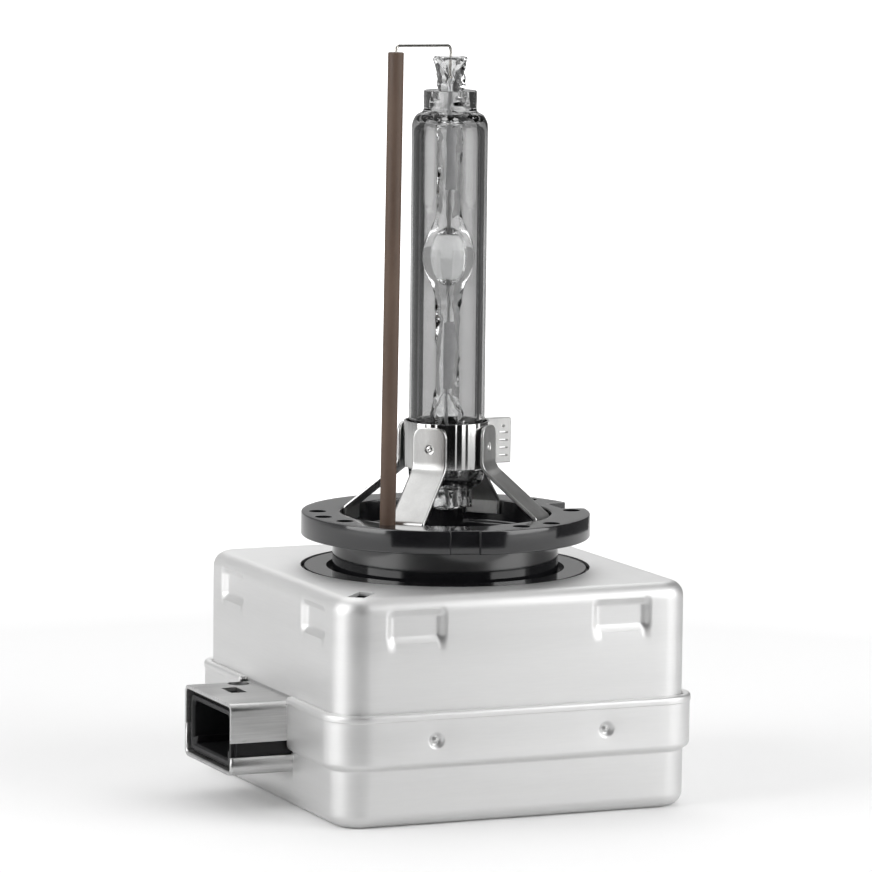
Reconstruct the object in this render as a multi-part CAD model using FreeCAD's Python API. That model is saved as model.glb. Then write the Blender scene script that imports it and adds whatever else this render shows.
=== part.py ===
import FreeCAD, Part
import math
import os

# Gas-discharge headlight bulb with an igniter box at its foot. Millimetres.
# The origin is on the lamp axis, in the top plane of the ring flange. +Z runs up the burner, and the plug
# socket is on the -X side of the box.

V = FreeCAD.Vector
UP = V(0, 0, 1)
os.makedirs("parts", exist_ok=True)

# ---- driving dimensions --------------------------------------------------------------------------
# ring flange, neck and cup
flange_r = 16.0
flange_t = 2.58
neck_r = 12.5
cup_r = 11.7
neck_bore_r = 11.2
cup_floor_z = -5.2
base_bottom_z = -7.2
lead_hole_r = 1.2
lead_room_r = 3.2
deep_notch_x = 13.3
deep_notch_half = 2.6
key_x = 15.55
key_half = 1.65
key_angle = -105.4
blind_hole_r = 0.95
blind_hole_depth = 0.7
blind_holes = [(14.2, 161), (14.5, 179), (14.0, -165), (13.9, -77), (14.4, -60), (14.1, -15.5), (14.0, 25)]

# igniter box
can_half = 20.62
can_corner_r = 3.36
can_edge_r = 1.65
can_top_z = -6.01
can_rim_z = -23.35
can_opening_r = 16.03
sheet = 0.4
corner_slot = (3.8, 1.9)
corner_slot_at = -17.0
corner_slot_turn = 48
tray_half = 20.79
tray_corner_r = 3.5
tray_edge_r = 1.6
tray_bottom_z = -30.84
collar_half = 21.62
collar_corner_r = 4.3
collar_top_z = -18.4
collar_step_z = -24.4
hem_h = 0.75
hem_in = 0.38
dent_wide = (7.1, 4.0)
dent_floor = (4.9, 2.2)
dent_depth = 0.9
dent_from_axis = 12.05
dent_z = -9.2
dimple_r = 1.0
dimple_depth = 0.5
dimple_from_axis = 10.0
dimple_z = -21.45

# plug shroud on the -X side
shroud_x = -28.0
shroud_half = 7.1
shroud_top_z = -18.9
shroud_split_top_z = -23.2
shroud_split_low_z = -24.8
shroud_bottom_z = -26.8
shroud_bend_r = 0.7
latch_window_x = (-25.3, -23.5)
latch_window_y = (-0.2, 3.2)
corner_hole_r = 1.2
corner_hole_at = (-22.4, 5.6)
socket_wall = 1.15
socket_rib = 0.9
socket_set_back = 0.35
play = 0.05
socket_floor_x = -17.5
socket_back_x = -15.9
pin_tip_x = -22.6
pin_w = 1.6
pin_t = 0.8
pin_pitch = 3.4
pin_z = -22.8
pin_root_x = -14.7
pin_bevel = 0.3

# igniter case
case_half = 18.9
case_wall = 1.2
case_top_z = -6.5
case_bottom_z = -29.9
land_r = 15.6
land_z = -6.06
land_groove_r = 13.2

# burner
glass_r = 4.2
glass_wall = 0.84
glass_foot_z = 0.7
glass_neck_r = 2.93
glass_high_z = 43.0
glass_top_z = 46.6
arc_z = 28.4
vessel_r = 2.88
vessel_half = 3.64
arc_room_r = 1.4
arc_room_half = 3.0
stem_r = 1.36
foot_tube_r = 2.0
tip_waist_r = 1.65
tip_r = 1.95
tip_waist_z = 47.7
tip_z = 50.3
electrode_r = 0.16
electrode_len = 5.2
arc_gap = 4.2
foil_w = 1.4
foil_t = 0.06
foil_len = 7.4
foil_turn = 37
lead_r = 0.22
wire_end_z = 48.0

# clamp, legs, return wire
band_r = 4.65
band_low_z = 5.1
band_high_z = 10.25
lug_reach = 7.66
lug_t = 0.8
leg_w = 3.95
leg_t = 0.35
leg_top_z = 9.85
leg_bend_z = 5.3
leg_foot_r = 11.2
leg_tab_z = -1.6
leg_corner_r = 1.3
post_r = 1.95
post_top_z = 0.45
tube_r = 0.86
tube_bore_r = 0.3
tube_foot = V(-10.11, -7.52, -0.5)
tube_head = V(-9.72, -7.65, 51.25)
wire_r = 0.16
wire_top_z = 51.5
wire_rise = 0.45
wire_bend_r = 0.6
wire_pass_z = -1.95
wire_drop_r = 10.5
wire_low_z = -9.6


# ---- small tools ---------------------------------------------------------------------------------
def save(shape, node):
    """Write one node; a single solid is written as a plain solid."""
    if len(shape.Solids) == 1:
        shape = shape.Solids[0]
    if not shape.isValid():
        print("not valid:", node)
    shape.exportStep(f"parts/{node}.step")
    nodes[node] = shape


def block(x0, x1, y0, y1, z0, z1):
    """A box from its low and high corners."""
    return Part.makeBox(x1 - x0, y1 - y0, z1 - z0, V(x0, y0, z0))


def tube(r, z0, z1, x=0.0, y=0.0):
    """An upright cylinder between two heights."""
    return Part.makeCylinder(r, z1 - z0, V(x, y, z0), UP)


def upright_edges(shape):
    """The edges that run straight along Z."""
    return [e for e in shape.Edges if len(e.Vertexes) == 2 and abs(e.tangentAt(e.FirstParameter).z) > 0.999]


def level_edges(shape, z):
    """The edges that lie in the plane at height z."""
    return [e for e in shape.Edges if abs(e.BoundBox.ZMin - z) < 1e-4 and abs(e.BoundBox.ZMax - z) < 1e-4]


def lengthwise_edges(shape):
    """The edges that run straight along X."""
    return [e for e in shape.Edges if abs(e.tangentAt(e.FirstParameter).x) > 0.999]


def square_block(half, corner_r, z0, z1):
    """A square block about the axis with rounded upright corners."""
    shape = block(-half, half, -half, half, z0, z1)
    return shape.makeFillet(corner_r, upright_edges(shape))


def revolved(points):
    """A solid turned about Z from (radius, height) points joined by straight lines."""
    corners = [V(r, 0, z) for r, z in points]
    return Part.Face(Part.makePolygon(corners + corners[:1])).revolve(V(0, 0, 0), UP, 360)


def turned(shape, degrees):
    """A copy turned about the lamp axis."""
    copy = shape.copy()
    copy.rotate(V(0, 0, 0), UP, degrees)
    return copy


def swept_round(points, r, bend_r):
    """A round rod along straight runs, with an arc of bend_r at each corner."""
    edges = []
    start = points[0]
    for before, corner, after in zip(points, points[1:], points[2:]):
        come = (corner - before).normalize()
        go = (after - corner).normalize()
        half_turn = come.getAngle(go) / 2
        back_off = bend_r * math.tan(half_turn)
        arc_in = corner - come * back_off
        arc_out = corner + go * back_off
        centre = corner + (go - come).normalize() * (bend_r / math.cos(half_turn))
        middle = centre + (corner - centre).normalize() * bend_r
        edges.append(Part.LineSegment(start, arc_in).toShape())
        edges.append(Part.Arc(arc_in, middle, arc_out).toShape())
        start = arc_out
    edges.append(Part.LineSegment(start, points[-1]).toShape())
    direction = (points[1] - points[0]).normalize()
    section = Part.Wire([Part.makeCircle(r, points[0], direction)])
    return Part.Wire(edges).makePipeShell([section], True, True)


nodes = {}


# ---- igniter box: the two pressed covers ---------------------------------------------------------
def dent_tools(grow):
    """Cutters for the eight dents, two on each side; grow is the sheet thickness for the inner surface."""
    tools = []
    for side in range(4):
        for along in (-dent_from_axis, dent_from_axis):
            rings = []
            for size, y in ((dent_wide, -can_half - grow), (dent_floor, -can_half + dent_depth)):
                half_w = size[0] / 2 + grow
                half_h = size[1] / 2 + grow
                y += grow
                corners = [V(along - half_w, y, dent_z - half_h), V(along + half_w, y, dent_z - half_h),
                           V(along + half_w, y, dent_z + half_h), V(along - half_w, y, dent_z + half_h)]
                rings.append(Part.makePolygon(corners + corners[:1]))
            tools.append(turned(Part.makeLoft(rings, True, True), 90 * side))
    return Part.makeCompound(tools)


def shroud_block(inset, x_out, x_in):
    """The plug shroud's block, inset by a wall, with rounded long edges."""
    shape = block(x_out, x_in, -shroud_half + inset, shroud_half - inset,
                  shroud_bottom_z + inset, shroud_top_z - inset)
    return shape.makeFillet(shroud_bend_r - inset * 0.9, lengthwise_edges(shape))


def upper_cover():
    outside = square_block(can_half, can_corner_r, can_rim_z, can_top_z)
    outside = outside.makeFillet(can_edge_r, level_edges(outside, can_top_z))
    inside = square_block(can_half - sheet, can_corner_r - sheet, can_rim_z - 1, can_top_z - sheet)
    inside = inside.makeFillet(can_edge_r - sheet, level_edges(inside, can_top_z - sheet))
    outside = outside.cut(dent_tools(0))
    inside = inside.cut(dent_tools(sheet))
    shroud = shroud_block(0, shroud_x, -can_half + 1)
    hollow = shroud_block(sheet, shroud_x - 1, -can_half + 2)
    cover = outside.fuse(shroud).cut(inside).cut(hollow)
    cover = cover.cut(block(shroud_x - 1, -can_half + 3, -shroud_half - 1, shroud_half + 1,
                            shroud_bottom_z - 1, shroud_split_top_z))
    cover = cover.cut(tube(can_opening_r, can_top_z - 2, can_top_z + 1))
    long_half = corner_slot[0] / 2
    short_half = corner_slot[1] / 2
    slot = block(-long_half, long_half, -short_half, short_half, can_top_z - 2, can_top_z + 1)
    slot = turned(slot, corner_slot_turn)
    slot.translate(V(corner_slot_at, corner_slot_at, 0))
    window = block(*latch_window_x, *latch_window_y, shroud_top_z - 1, shroud_top_z + 1)
    hole = tube(corner_hole_r, shroud_top_z - 1.5, shroud_top_z + 1.5, *corner_hole_at)
    return cover.cut(slot).cut(window).cut(hole).removeSplitter()


def lower_cover():
    tray = square_block(tray_half, tray_corner_r, tray_bottom_z, collar_step_z + 0.5)
    tray = tray.makeFillet(tray_edge_r, level_edges(tray, tray_bottom_z))
    collar = square_block(collar_half, collar_corner_r, collar_step_z, collar_top_z)
    collar = collar.makeFillet(0.5, level_edges(collar, collar_step_z))
    tray_floor_z = tray_bottom_z + sheet
    tray_in = square_block(tray_half - sheet, tray_corner_r - sheet, tray_floor_z, collar_top_z)
    tray_in = tray_in.makeFillet(tray_edge_r - sheet, level_edges(tray_in, tray_floor_z))
    ledge_z = collar_step_z + sheet + 0.15
    collar_in = square_block(collar_half - sheet, collar_corner_r - sheet, ledge_z, collar_top_z - hem_h)
    mouth_half = collar_half - sheet - hem_in
    mouth = square_block(mouth_half, collar_corner_r - sheet - hem_in, collar_step_z + 1, collar_top_z + 1)
    shroud = shroud_block(0, shroud_x, -can_half + 1)
    hollow = shroud_block(sheet, shroud_x - 1, -can_half + 2)
    dimples = []
    bumps = []
    for side in range(3):
        for along in (-dimple_from_axis, dimple_from_axis):
            centre = V(along, -collar_half - dimple_r + dimple_depth, dimple_z)
            dimples.append(turned(Part.makeSphere(dimple_r, centre), 90 * side))
            bumps.append(turned(Part.makeSphere(dimple_r + sheet, centre), 90 * side))
    cavity = collar_in.fuse(mouth).cut(Part.makeCompound(bumps)).fuse(tray_in)
    cover = tray.fuse(collar).cut(Part.makeCompound(dimples)).cut(cavity)
    notch = block(shroud_x - 1, -can_half + 3, -shroud_half - 0.05, shroud_half + 0.05,
                  shroud_split_low_z, collar_top_z + 1)
    slit_side = block(shroud_x - 1, 0, -20, 0, shroud_split_low_z, 0)
    closed_side = block(shroud_x - 1, 0, 0, 20, shroud_split_top_z - play, 0)
    lower_shroud = shroud.cut(hollow).cut(slit_side).cut(closed_side)
    lower_shroud = lower_shroud.cut(tray_in)
    return cover.cut(notch).cut(hollow).fuse(lower_shroud).removeSplitter()


# ---- plug socket ---------------------------------------------------------------------------------
def pin_blade(y):
    """One flat contact blade with a bevelled tip."""
    blade = block(pin_tip_x, pin_root_x, y - pin_w / 2, y + pin_w / 2, pin_z - pin_t / 2, pin_z + pin_t / 2)
    tip = [e for e in blade.Edges if e.BoundBox.XMax < pin_tip_x + 0.01 and abs(e.tangentAt(0).y) > 0.99]
    return blade.makeChamfer(pin_bevel, tip)


def connector_housing(pins):
    inset = sheet + play
    body = block(shroud_x + socket_set_back, socket_back_x, -shroud_half + inset, shroud_half - inset,
                 shroud_bottom_z + inset, shroud_top_z - inset)
    body = body.makeFillet(shroud_bend_r - sheet, lengthwise_edges(body))
    y_in = shroud_half - inset - socket_wall
    z_low = shroud_bottom_z + inset + socket_wall
    z_high = shroud_top_z - inset - socket_wall
    cavity = block(shroud_x - 1, socket_floor_x, -y_in, y_in, z_low, z_high)
    for side in (-1, 1):
        low, high = sorted((side * y_in, side * (y_in - socket_rib)))
        cavity = cavity.cut(block(shroud_x - 1, socket_floor_x, low, high, z_low, z_low + socket_rib))
    return body.cut(cavity).cut(Part.makeCompound(pins))


# ---- black mouldings -----------------------------------------------------------------------------
def igniter_case(socket_room, wire):
    outside = square_block(case_half, 3.0, case_bottom_z, case_top_z)
    outside = outside.fuse(tube(land_r, case_top_z - 0.5, land_z))
    inside = square_block(case_half - case_wall, 2.0, case_bottom_z - 1, base_bottom_z - case_wall)
    case = outside.cut(inside)
    case = case.cut(tube(land_groove_r, base_bottom_z + 0.2, land_z + 1))
    case = case.cut(tube(neck_r, base_bottom_z, land_z + 1))
    case = case.cut(tube(lead_room_r, base_bottom_z - 3, base_bottom_z + 1))
    return case.cut(socket_room).cut(wire)


def flange_cuts():
    """The deep notch and the shallow key in the rim, and the blind holes in the top."""
    past = flange_r + 1
    cuts = [block(deep_notch_x, past, -deep_notch_half, deep_notch_half, -flange_t - 1, 1)]
    cuts.append(turned(block(key_x, past, -key_half, key_half, -flange_t - 1, 1), key_angle))
    for r, angle in blind_holes:
        cuts.append(turned(tube(blind_hole_r, -blind_hole_depth, 1, r, 0), angle))
    return cuts


def lamp_base(leg_tabs, wire):
    under = -flange_t
    profile = [(cup_r, 0), (flange_r, 0), (flange_r, under), (neck_r, under), (neck_r, base_bottom_z),
               (lead_hole_r, base_bottom_z), (lead_hole_r, cup_floor_z), (neck_bore_r, cup_floor_z),
               (neck_bore_r, under), (cup_r, under)]
    base = revolved(profile)
    for cutter in flange_cuts() + leg_tabs:
        base = base.cut(cutter)
    seat = Part.makeCylinder(tube_r, 2, tube_foot, tube_head - tube_foot)
    return base.cut(seat).cut(wire).removeSplitter()


# ---- burner --------------------------------------------------------------------------------------
def outer_bulb():
    """The outer tube: a narrow foot, a long parallel body and a narrow head fused to the stem."""
    inner_r = glass_r - glass_wall
    profile = [(foot_tube_r, glass_foot_z), (glass_neck_r, glass_foot_z), (glass_neck_r, 3.0), (3.6, 3.5),
               (4.05, 4.1), (glass_r, 5.0), (glass_r, glass_high_z - 0.5), (4.0, 43.6), (3.4, 44.2),
               (glass_neck_r, 44.5), (glass_neck_r, glass_top_z), (stem_r, glass_top_z), (stem_r, 43.4),
               (2.6, 43.0), (inner_r, 42.0), (inner_r, 5.6), (2.9, 4.6), (foot_tube_r, 4.2)]
    return revolved(profile)


def ellipsoid(r, half):
    """An ellipsoid of revolution about the lamp axis, centred on the arc."""
    stretch = FreeCAD.Matrix()
    stretch.scale(r, r, half)
    shape = Part.makeSphere(1.0).transformGeometry(stretch)
    shape.translate(V(0, 0, arc_z))
    return shape


def discharge_tube(metal):
    """The inner tube: an open foot, a solid stem with the vessel blown in it, and an open flared tip."""
    foot_bore_r = 1.3
    foot_shoulder_z = 10.4
    profile = [(0, 13.6), (0, 46.9), (0.35, 47.5), (0.5, 48.6), (1.15, 49.6), (1.65, tip_z), (tip_r, tip_z),
               (tip_waist_r, tip_waist_z + 0.8), (tip_waist_r, tip_waist_z), (stem_r, glass_top_z),
               (stem_r, 13.3), (foot_tube_r, foot_shoulder_z),
               (foot_tube_r, glass_foot_z), (foot_bore_r, glass_foot_z), (foot_bore_r, foot_shoulder_z),
               (0.7, 12.8)]
    quartz = revolved(profile).fuse(ellipsoid(vessel_r, vessel_half))
    quartz = quartz.cut(ellipsoid(arc_room_r, arc_room_half))
    for piece in metal:
        quartz = quartz.cut(piece)
    return quartz


def electrode(sign):
    """The rod on one side of the arc: sign is 1 above it and -1 below."""
    tip = arc_z + sign * arc_gap / 2
    end = arc_z + sign * (arc_gap / 2 + electrode_len)
    return tube(electrode_r, min(tip, end), max(tip, end))


def foil(sign):
    """The thin sealing foil that carries on from an electrode."""
    start = arc_z + sign * (arc_gap / 2 + electrode_len)
    end = start + sign * foil_len
    flat = block(-foil_w / 2, foil_w / 2, -foil_t / 2, foil_t / 2, min(start, end), max(start, end))
    return turned(flat, foil_turn)


# ---- clamp, legs and wire ------------------------------------------------------------------------
def clamp_band():
    band = tube(band_r, band_low_z, band_high_z).cut(tube(glass_r, band_low_z - 1, band_high_z + 1))
    lug = block(glass_r - 0.2, lug_reach, -lug_t / 2, lug_t / 2, band_low_z + 0.1, band_high_z)
    return band.fuse(lug.cut(tube(glass_r, 0, 20))).removeSplitter()


def leg():
    """One bent strip in the XZ plane on the +X side: plate, slope and foot tab."""
    slope = V(leg_foot_r - band_r, 0, -leg_bend_z).normalize()
    normal = V(-slope.z, 0, slope.x) * leg_t
    plate_out = band_r + leg_t
    outline = [V(band_r, 0, leg_top_z), V(band_r, 0, leg_bend_z), V(leg_foot_r, 0, 0),
               V(leg_foot_r, 0, leg_tab_z), V(leg_foot_r + leg_t, 0, leg_tab_z),
               V(leg_foot_r + leg_t, 0, normal.z + 0.1), V(plate_out, 0, leg_bend_z + 0.15),
               V(plate_out, 0, leg_top_z)]
    face = Part.Face(Part.makePolygon(outline + outline[:1]))
    face.translate(V(0, -leg_w / 2, 0))
    strip = face.extrude(V(0, leg_w, 0))
    top = [e for e in level_edges(strip, leg_top_z) if abs(e.tangentAt(0).x) > 0.99]
    strip = strip.makeFillet(leg_corner_r, top)
    return strip.cut(tube(band_r, 0, 20))


def return_wire():
    """Up from the igniter, through the flange and the ceramic tube, across, and down into the open tip."""
    axis = (tube_head - tube_foot).normalize()
    under_foot = tube_foot + axis * ((wire_pass_z - tube_foot.z) / axis.z)
    over_head = tube_head + axis * ((wire_top_z + wire_rise - tube_head.z) / axis.z)
    inside_cup = V(under_foot.x, under_foot.y, 0).normalize() * wire_drop_r
    route = [V(inside_cup.x, inside_cup.y, wire_low_z), V(inside_cup.x, inside_cup.y, wire_pass_z),
             under_foot, over_head, V(0, 0, wire_top_z), V(0, 0, wire_end_z)]
    return swept_round(route, wire_r, wire_bend_r)


# ---- igniter parts -------------------------------------------------------------------------------
coil_x = 8.6
coil_z = -19.6
coil_half = 15.0
core_r = 3.0
bobbin_r = 3.9
rib_r = 7.4
rib_t = 0.9
chambers = 5
winding_r = 6.6
gap_r = 3.6
gap_x = -9.5
gap_y0 = 7.0
gap_y1 = 14.0
gap_z = -21.0
cap_t = 1.4
cap_knob = (1.6, 1.7)
capacitor_box = (-14.0, -5.0, -15.5, -2.5, -27.0, -14.0)
resistor_r = 1.3
resistor_half = 4.0
resistor_x = -9.5
resistor_z = -12.2
resistor_lead_y = 6.2
resistor_lead_z = -17.2
track_t = 0.6
track_half = 0.8
track_top_z = -28.6
return_riser_x = -3.4
return_end = (-8.42, -6.27)
boost_end = (-10.3, -8.7, 7.0)
high_lead_r = 0.45
high_lead_z = -10.4
high_lead_bend_r = 1.2


def along_y(r, x, y0, y1, z):
    """A cylinder lying along Y."""
    return Part.makeCylinder(r, y1 - y0, V(x, y0, z), V(0, 1, 0))


def transformer():
    """Rod core, ribbed bobbin, one winding in each chamber and a few wide primary turns on the end."""
    core = along_y(core_r, coil_x, -coil_half, coil_half, coil_z)
    bobbin = along_y(bobbin_r, coil_x, -coil_half, coil_half, coil_z)
    pitch = (2 * coil_half - rib_t) / (chambers + 1)
    windings = []
    primary = []
    for index in range(chambers + 2):
        y = -coil_half + index * pitch
        bobbin = bobbin.fuse(along_y(rib_r, coil_x, y, y + rib_t, coil_z))
        if index < chambers:
            ring = along_y(winding_r, coil_x, y + rib_t, y + pitch, coil_z)
            windings.append(ring.cut(along_y(bobbin_r, coil_x, y, y + pitch, coil_z)))
    first = -coil_half + chambers * pitch + rib_t + 0.1
    turn_w = 0.8
    turn_pitch = 0.98
    for turn in range(4):
        y = first + turn * turn_pitch
        ring = along_y(bobbin_r + 0.5, coil_x, y, y + turn_w, coil_z)
        primary.append(ring.cut(along_y(bobbin_r, coil_x, y - 1, y + 2, coil_z)))
    save(core, "transformer_core")
    save(bobbin.cut(core), "transformer_bobbin")
    save(Part.makeCompound(windings), "secondary_winding")
    save(Part.makeCompound(primary), "primary_winding")


def spark_gap():
    """A short ceramic sleeve with a metal cap in each end."""
    inner_low = gap_y0 + cap_t
    inner_high = gap_y1 - cap_t
    knob_r, knob = cap_knob
    sleeve = along_y(gap_r, gap_x, inner_low, inner_high, gap_z)
    sleeve = sleeve.cut(along_y(gap_r - 0.9, gap_x, gap_y0, gap_y1, gap_z))
    low = along_y(gap_r, gap_x, gap_y0, inner_low, gap_z)
    low = low.fuse(along_y(knob_r, gap_x, inner_low, inner_low + knob, gap_z))
    high = along_y(gap_r, gap_x, inner_high, gap_y1, gap_z)
    high = high.fuse(along_y(knob_r, gap_x, inner_high - knob, inner_high, gap_z))
    save(sleeve, "spark_gap_body")
    save(Part.makeCompound([low.removeSplitter(), high.removeSplitter()]), "spark_gap_caps")


def capacitor():
    """A resin-dipped film block with rounded edges."""
    body = block(*capacitor_box)
    save(body.makeFillet(0.8, body.Edges), "ignition_capacitor")


def resistor():
    """A round lacquered body with one bent lead down to the spark gap."""
    body = along_y(resistor_r, resistor_x, -resistor_half, resistor_half, resistor_z)
    route = [V(resistor_x, resistor_half, resistor_z), V(resistor_x, resistor_lead_y, resistor_z),
             V(resistor_x, resistor_lead_y, resistor_lead_z)]
    lead = swept_round(route, 0.3, 0.6)
    save(body.fuse(lead).removeSplitter(), "bleed_resistor")


def lead_frame():
    """Flat strips from the contact blades to the parts that they feed."""
    low = track_top_z - track_t

    def riser(y):
        return block(pin_root_x - 1.0, pin_root_x, y - track_half, y + track_half,
                     track_top_z, pin_z - pin_t / 2)

    def run(x_end, y):
        return block(pin_root_x - 1.0, x_end, y - track_half, y + track_half, low, track_top_z)

    supply = riser(0).fuse(run(4.0, 0))
    boost_x0, boost_x1, boost_y = boost_end
    boost = riser(pin_pitch).fuse(run(boost_x1, pin_pitch))
    boost = boost.fuse(block(boost_x0, boost_x1, pin_pitch + track_half, boost_y, low, track_top_z))
    wire_x, wire_y = return_end
    y0 = wire_y - track_half
    y1 = wire_y + track_half
    wide = 2 * track_half
    back = riser(-pin_pitch).fuse(run(return_riser_x + wide, -pin_pitch))
    back = back.fuse(block(return_riser_x, return_riser_x + wide, y0, -pin_pitch, low, track_top_z))
    back = back.fuse(block(return_riser_x, return_riser_x + track_t, y0, y1, track_top_z, wire_low_z))
    back = back.fuse(block(wire_x - track_half, return_riser_x + track_t, y0, y1,
                           wire_low_z - track_t, wire_low_z))
    save(supply.removeSplitter(), "supply_track")
    save(boost.removeSplitter(), "boost_track")
    save(back.removeSplitter(), "return_track")


def potting():
    """The insulating compound that fills the case, with simple rooms for the larger parts."""
    gap = 0.1
    ceiling = base_bottom_z - case_wall
    fill = square_block(case_half - case_wall - gap, 2.0, case_bottom_z + gap, ceiling - gap)

    def room(x0, x1, y0, y1, z0, z1):
        return block(x0 - gap, x1 + gap, y0 - gap, y1 + gap, z0 - gap, z1 + gap)

    low = track_top_z - track_t
    past = base_bottom_z
    shelf_z = wire_low_z - track_t
    wire_x, wire_y = return_end
    boost_x0, boost_x1, boost_y = boost_end
    y0 = wire_y - track_half
    y1 = wire_y + track_half
    rooms = [along_y(rib_r + gap, coil_x, -coil_half - gap, coil_half + gap, coil_z),
             along_y(gap_r + gap, gap_x, gap_y0 - gap, gap_y1 + gap, gap_z),
             room(*capacitor_box),
             room(resistor_x - resistor_r, resistor_x + resistor_r, -resistor_half, resistor_lead_y + 0.5,
                  resistor_lead_z, resistor_z + resistor_r),
             room(-0.9, coil_x + 0.9, -0.9, 0.9, coil_z, past),
             room(-case_half, socket_back_x, -7.2, 7.2, -27.9, -18.1),
             room(-case_half, pin_root_x + 0.2, -4.3, 4.3, low, -22.3),
             room(pin_root_x - 1.0, 4.0, -pin_pitch - track_half, track_half, low, track_top_z),
             room(pin_root_x - 1.0, boost_x1, pin_pitch - track_half, pin_pitch + track_half,
                  low, track_top_z),
             room(boost_x0, boost_x1, pin_pitch + track_half, boost_y, low, track_top_z),
             room(return_riser_x, return_riser_x + 2 * track_half, y0, -2.5, low, track_top_z),
             room(return_riser_x, return_riser_x + track_t, y0, y1, track_top_z, past),
             room(wire_x - track_half, return_riser_x + track_t, y0, y1, shelf_z, past)]
    for hollow in rooms:
        fill = fill.cut(hollow)
    return max(fill.Solids, key=lambda solid: solid.Volume)


# ---- make every node -----------------------------------------------------------------------------
pins = {"pin_return": pin_blade(-pin_pitch), "pin_supply": pin_blade(0), "pin_boost": pin_blade(pin_pitch)}
for name, blade in pins.items():
    save(blade, name)
save(upper_cover(), "upper_cover")
save(lower_cover(), "lower_cover")
housing = connector_housing(list(pins.values()))
save(housing, "connector_housing")
socket_room = block(shroud_x, socket_back_x + 2, -shroud_half + sheet, shroud_half - sheet,
                    shroud_bottom_z + sheet, shroud_top_z - sheet)
wire = return_wire()
save(igniter_case(socket_room, wire), "igniter_case")
save(wire, "return_wire")
bore = Part.makeCylinder(tube_bore_r, 60, tube_foot, tube_head - tube_foot)
sleeve = Part.makeCylinder(tube_r, (tube_head - tube_foot).Length, tube_foot, tube_head - tube_foot)
save(sleeve.cut(bore), "ceramic_tube")

corner_names = {-135: "front_left", -45: "front_right", 45: "back_right", 135: "back_left"}
strip = leg()
tabs = []
for angle, corner in corner_names.items():
    placed = turned(strip, angle)
    tabs.append(placed)
    save(placed, "leg_" + corner)
save(lamp_base(tabs, wire), "lamp_base")
save(clamp_band(), "clamp_band")

metal = {}
for sign, name in ((1, "upper"), (-1, "lower")):
    metal[name + "_electrode"] = electrode(sign)
    metal[name + "_foil"] = foil(sign)
foil_end = arc_gap / 2 + electrode_len + foil_len
metal["upper_lead"] = tube(lead_r, arc_z + foil_end, wire_end_z)
metal["lower_lead"] = tube(lead_r, post_top_z, arc_z - foil_end)
for name, shape in metal.items():
    save(shape, name)
save(discharge_tube(list(metal.values()) + [wire]), "discharge_tube")
save(outer_bulb(), "outer_bulb")

lead_route = [V(0, 0, post_top_z), V(0, 0, high_lead_z), V(coil_x, 0, high_lead_z),
              V(coil_x, 0, coil_z + rib_r)]
lead = swept_round(lead_route, high_lead_r, high_lead_bend_r)
save(lead, "high_voltage_lead")
post = tube(post_r, cup_floor_z, post_top_z)
save(post.cut(lead), "centre_post")

transformer()
spark_gap()
capacitor()
resistor()
lead_frame()
save(potting(), "potting")
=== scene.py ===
import math

import bmesh
import bpy
import numpy as np
from mathutils import Matrix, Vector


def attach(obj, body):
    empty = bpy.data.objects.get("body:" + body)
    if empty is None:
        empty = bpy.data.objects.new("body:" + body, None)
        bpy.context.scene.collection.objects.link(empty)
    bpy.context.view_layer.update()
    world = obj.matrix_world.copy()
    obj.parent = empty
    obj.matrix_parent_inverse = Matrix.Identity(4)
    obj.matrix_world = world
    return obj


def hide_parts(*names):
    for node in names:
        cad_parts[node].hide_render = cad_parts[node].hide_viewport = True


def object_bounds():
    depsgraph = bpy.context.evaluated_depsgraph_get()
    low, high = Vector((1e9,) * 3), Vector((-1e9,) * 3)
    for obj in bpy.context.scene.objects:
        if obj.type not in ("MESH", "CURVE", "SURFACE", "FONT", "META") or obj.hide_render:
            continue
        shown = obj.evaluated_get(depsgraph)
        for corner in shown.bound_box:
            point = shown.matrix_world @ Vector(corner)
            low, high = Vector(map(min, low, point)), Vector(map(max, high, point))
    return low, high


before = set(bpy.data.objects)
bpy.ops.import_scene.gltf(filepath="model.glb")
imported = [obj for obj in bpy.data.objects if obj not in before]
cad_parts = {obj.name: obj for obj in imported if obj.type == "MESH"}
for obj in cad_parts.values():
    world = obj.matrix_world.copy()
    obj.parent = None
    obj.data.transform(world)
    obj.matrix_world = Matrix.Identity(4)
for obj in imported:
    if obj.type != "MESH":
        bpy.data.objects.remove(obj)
cad_low, cad_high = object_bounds()
mm = 0.001

# ---- camera ----
# A long lens stands a little above the flange, turned towards the socket side of the box.
camera_turn, camera_rise, camera_roll = math.radians(-23.24), math.radians(7.09), math.radians(0.63)
camera_away, camera_right, camera_up = 585.8 * mm, -1.07 * mm, 8.33 * mm
camera_data = bpy.data.cameras.new("camera")
camera_data.lens = 218.4
camera_data.sensor_width = 36.0
camera_data.clip_start, camera_data.clip_end = 0.01, 20.0
camera = bpy.data.objects.new("camera", camera_data)
bpy.context.scene.collection.objects.link(camera)
aim = Matrix.Rotation(camera_turn, 4, "Z") @ Matrix.Rotation(math.pi / 2 - camera_rise, 4, "X")
aim = aim @ Matrix.Rotation(camera_roll, 4, "Z")
camera.matrix_world = aim @ Matrix.Translation((camera_right, camera_up, camera_away))
bpy.context.scene.camera = camera
bpy.context.scene.view_settings.view_transform = "Standard"


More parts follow.
